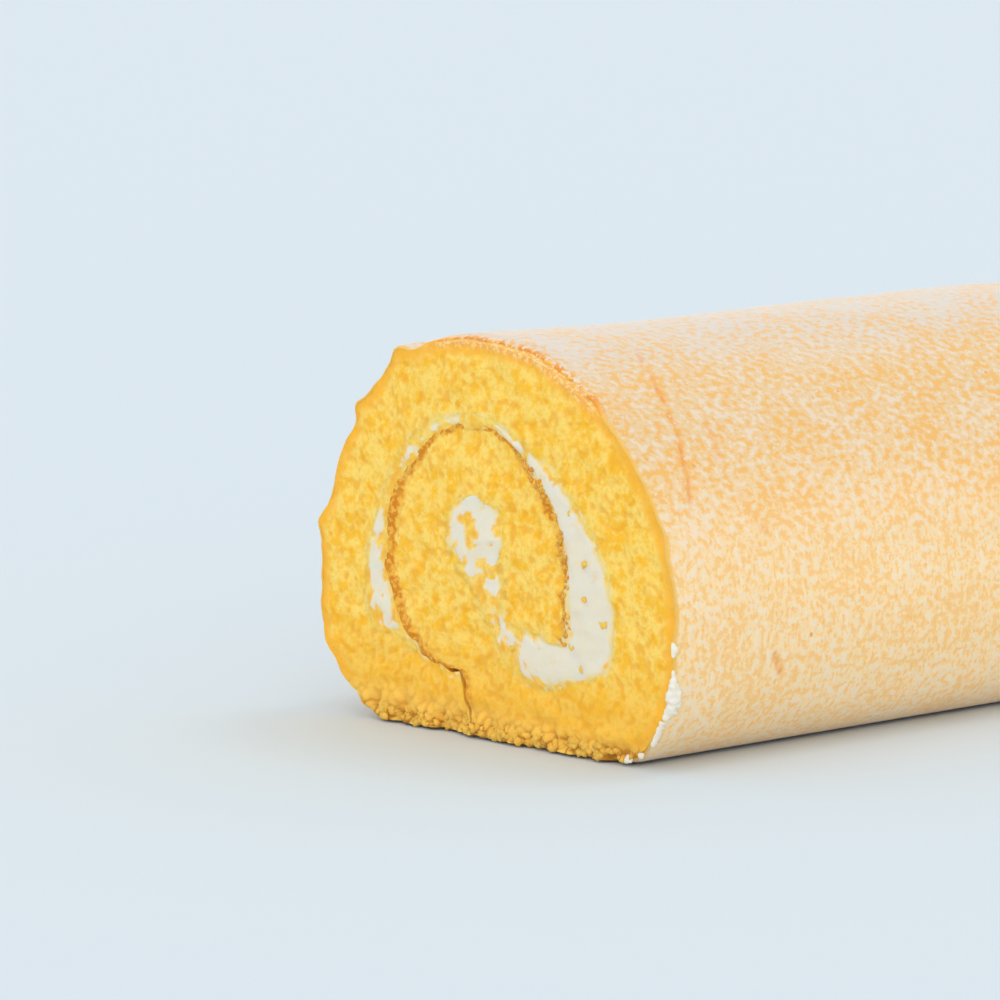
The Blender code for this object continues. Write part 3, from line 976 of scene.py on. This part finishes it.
def crumbSpots(draw):
    # (across, up, size, tone) of each loose crumb, all in metres; the tone is 0 for light and 1 for brown
    spots = []
    for _ in range(looseCrumbs["atFoot"]):
        x = draw.uniform(*looseCrumbs["footSpan"]) * mm
        z = (0.7 + 2.2 * draw.random() ** 2) * mm
        spots.append((x, z, draw.uniform(*looseCrumbs["footSize"]) * mm, draw.uniform(0.0, 0.35)))
    for _ in range(looseCrumbs["onLine"]):  # over the cream, along the inner roll's right-hand side
        turn = draw.uniform(*looseCrumbs["lineSpan"])
        spot = innerSkin(turn) + around(10) * (draw.random() ** 2 * 1.8 - 0.9) * mm
        spots.append((*spot, draw.uniform(*looseCrumbs["lineSize"]) * mm, draw.uniform(0.2, 1.0)))
    for x, z in looseCrumbs["inCream"]:
        spots.append((x * mm, z * mm, draw.uniform(*looseCrumbs["creamSize"]) * mm, 0.0))
    return spots


def makeLooseCrumbs():
    ball = bmesh.new()
    across, along = looseCrumbs["faces"]
    bmesh.ops.create_uvsphere(ball, u_segments=across, v_segments=along, radius=0.5)
    shape = meshFrom(ball, "oneCrumb")
    bm = bmesh.new()
    tones = {}
    draw = random.Random(looseCrumbs["seed"])
    for end in (-1, 1):
        for x, z, size, tone in crumbSpots(draw):
            addCrumb(bm, shape, draw, onFace(x, z, end, draw.uniform(-0.3, 0.2) * mm), size, tones, tone)
    bpy.data.meshes.remove(shape)
    made, tree, shader = newMaterial("looseCrumb", 0.9, 0.3, 1.2 * mm, specular=0.15)
    place = node(tree, "TexCoord").outputs["Object"]
    pattern = placeGroup(tree, crumbPattern, {"Vector": place, **looseCrumbs["pattern"]})
    tone = maths(tree, "ADD", attribute(tree, "tone"), times(tree, pattern["Grain"], 0.25))
    colour = blendColours(tree, times(tree, tone, 0.8), looseCrumbs["light"], looseCrumbs["brown"])
    finishShader(tree, shader, colour, pattern["Height"], 0.3 * mm, 0.6)
    piece = finishPiece("loose_crumbs", bm, made, {"tone": tones})
    return piece


# Cream smeared on the rim
smears = {
    # chains of (across, up, width, reach along the skin), all in mm, at the front end's right-hand rim
    "chains": [
        [(47.0, 23.6, 0.8, 0.7), (47.1, 22.3, 1.2, 1.2), (47.0, 21.4, 0.6, 0.6)],
        [
            (47.0, 18.4, 0.6, 0.6), (46.8, 16.4, 1.5, 1.6), (46.4, 13.8, 2.2, 3.0),
            (45.6, 11.6, 1.9, 2.2), (44.6, 9.6, 0.9, 1.0),
        ],
        [(44.2, 9.0, 0.7, 1.6), (42.9, 6.6, 0.8, 1.2), (41.6, 4.6, 0.7, 0.9)],
        [(38.4, 2.4, 1.3, 1.1), (38.0, 2.0, 1.0, 1.0)],
        [(34.6, 1.0, 1.6, 1.2), (33.8, 0.9, 1.1, 1.0)],
    ],
    "step": 0.45 * mm,
    "lumpy": 0.5,
    "lumpSize": 0.9 * mm,
    "white": seen(243, 241, 235),
}


def makeSmears():
    bm = bmesh.new()
    for chain in smears["chains"]:
        for start, stop in zip(chain, chain[1:]):
            a, b = Vector(start) * mm, Vector(stop) * mm
            steps = max(1, round((b - a).length / smears["step"]))
            for i in range(steps):
                x, z, width, reach = a.lerp(b, i / steps)
                centre = onFace(x, z, -1, 0.1 * mm - reach * 0.35)
                size = Matrix.Diagonal((width, reach, max(width, 1.1 * mm), 1))
                placed = Matrix.Translation(centre) @ size
                ball = bmesh.ops.create_icosphere(bm, subdivisions=3, radius=0.5, matrix=placed)["verts"]
                for vertex in ball:
                    lump = 1 + smears["lumpy"] * noise.noise(vertex.co / smears["lumpSize"])
                    vertex.co = centre + (vertex.co - centre) * lump
    made, tree, shader = newMaterial("smearedCream", 0.55, 0.0, 1.5 * mm)
    place = node(tree, "TexCoord").outputs["Object"]
    colour = blendColours(tree, patternNoise(tree, place, 1.5 * mm, 2.0), cream["shade"], smears["white"])
    finishShader(tree, shader, colour, patternNoise(tree, place, 0.8 * mm, 2.0), 0.2 * mm, 0.5)
    piece = finishPiece("smeared_cream", bm, made)
    return piece


# Putting the roll together
def centreAll(pieces, widest):
    reach = [vertex.co.x for vertex in widest.data.vertices]
    middle = (min(reach) + max(reach)) / 2
    for piece in pieces:
        piece.data.transform(Matrix.Translation((-middle, 0, 0)))


skinSide, creamSide, stretchEnds = sheetLines(crumb["step"])
print("section drawn:", len(skinSide), "points a side, stretches end at", stretchEnds)
pieces = [makeCrumb(skinSide, creamSide, stretchEnds)]
print("crumb made")
pieces.append(makeSkin(skinSide, creamSide, stretchEnds))
print("skin made")
pieces.append(makeCream())
print("cream made")
pieces.append(makeLooseCrumbs())
pieces.append(makeSmears())
print("loose crumbs and smears made")
centreAll(pieces, pieces[1])
for piece in pieces:
    triangles = sum(len(polygon.vertices) - 2 for polygon in piece.data.polygons)
    print("  ", piece.name, triangles, "triangles")

# Floor, light and camera
studio = {
    "floorSize": 16.0,
    "floorDrop": 0.1 * mm,  # below the roll, so that the two don't share a plane
    "floorColour": (0.665, 0.735, 0.785, 1.0),
    "skyColour": (0.97, 0.99, 1.0, 1.0),
    "skyStrength": 1.0,
    # each light: (where it comes from, its angle in degrees, its strength)
    "suns": {"window": ((0.14, 0.42, 0.90), 16, 0.2), "reflector": ((0.60, -0.78, 0.10), 60, 0.95)},
}
bm = bmesh.new()
bmesh.ops.create_grid(bm, x_segments=1, y_segments=1, size=studio["floorSize"] / 2)
bmesh.ops.translate(bm, verts=bm.verts, vec=(0, 0, -studio["floorDrop"]))
floor = addObject("floor", meshFrom(bm, "floor"))
floorMaterial, _, floorShader = newMaterial("floor", 0.9, 0.0, 1 * mm, specular=0.1)
floorShader.inputs["Base Color"].default_value = studio["floorColour"]
floor.data.materials.append(floorMaterial)

world = bpy.data.worlds.new("studio")
bpy.context.scene.world = world
world.use_nodes = True
sky = world.node_tree.nodes["Background"]
sky.inputs["Color"].default_value = studio["skyColour"]
sky.inputs["Strength"].default_value = studio["skyStrength"]

for name, (comesFrom, angle, strength) in studio["suns"].items():
    light = bpy.data.lights.new(name, "SUN")
    light.energy = strength
    light.angle = math.radians(angle)
    addObject(name, light).rotation_euler = Vector(comesFrom).to_track_quat("Z", "Y").to_euler()

# The camera, fitted by the foot of the front end's right-hand corner and the roll's height
view = {
    "azimuth": 47.6,  # degrees from straight in front of the cut end, towards the right-hand side
    "elevation": 7.65,
    "lens": 198,  # mm, on a sensor 36 mm wide
    "sensor": 36,
    "image": 1000,  # pixels
    "foot": Vector((34.5, -120, 0)) * mm,
    "footPixel": (620, 767),
    "pixel": 75 / 419.6 * mm,  # a pixel's size at the foot
}
turn, rise = math.radians(view["azimuth"]), math.radians(view["elevation"])
back = Vector((math.sin(turn) * math.cos(rise), -math.cos(turn) * math.cos(rise), math.sin(rise)))
right = Vector((math.cos(turn), math.sin(turn), 0))
up = back.cross(right)
focal = view["lens"] / view["sensor"] * view["image"]
across = view["footPixel"][0] - view["image"] / 2
above = view["image"] / 2 - view["footPixel"][1]
place = view["foot"] - (right * across + up * above - back * focal) * view["pixel"]
lens = bpy.data.cameras.new("camera")
lens.lens = view["lens"]
lens.sensor_width = view["sensor"]
lens.clip_end = 100
camera = addObject("camera", lens)
camera.matrix_world = Matrix.Translation(place) @ Matrix((right, up, back)).transposed().to_4x4()
bpy.context.scene.camera = camera
bpy.context.scene.view_settings.view_transform = "Standard"
print("floor, light and camera placed")
